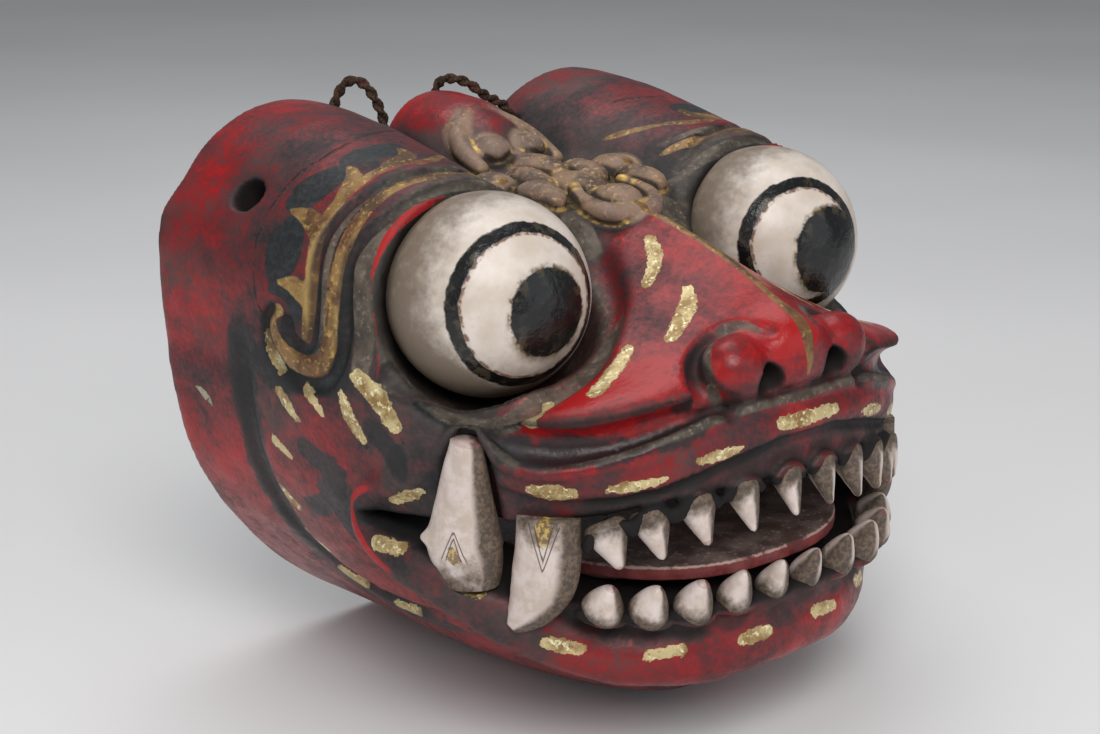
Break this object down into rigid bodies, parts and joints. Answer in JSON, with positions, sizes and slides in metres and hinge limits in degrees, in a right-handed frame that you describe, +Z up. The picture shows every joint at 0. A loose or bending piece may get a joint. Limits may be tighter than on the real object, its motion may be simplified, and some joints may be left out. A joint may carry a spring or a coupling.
{
  "type": "dragon head mask",
  "caption": "Hollow carved and lacquered wooden dragon head mask with bulging eyes, open toothed mouth, set-in fangs and small cord loops at its open back.",
  "frame": {"origin": "under the middle of the standing mask, at the height of the flat under its chin, without the cord loops", "axes": "+Z up, the face looks along -Y, +X is the mask's own left"},
  "size_m": [0.2059, 0.1769, 0.178],
  "materials": {
    "lacquered_wood": "worn red lacquer with gold and black over wood",
    "tongue_board": "dark red lacquer",
    "ivory_lacquer": "worn ivory lacquer",
    "cord": "dark twisted hemp"
  },
  "bodies": {
    "root": {"head": "lacquered_wood", "tongue_board": "tongue_board", "fang_lower_left": "ivory_lacquer", "fang_lower_right": "ivory_lacquer", "fang_upper_left": "ivory_lacquer", "fang_upper_right": "ivory_lacquer", "cord_loop_left": "cord", "cord_loop_right": "cord"}
  },
  "joints": []
}
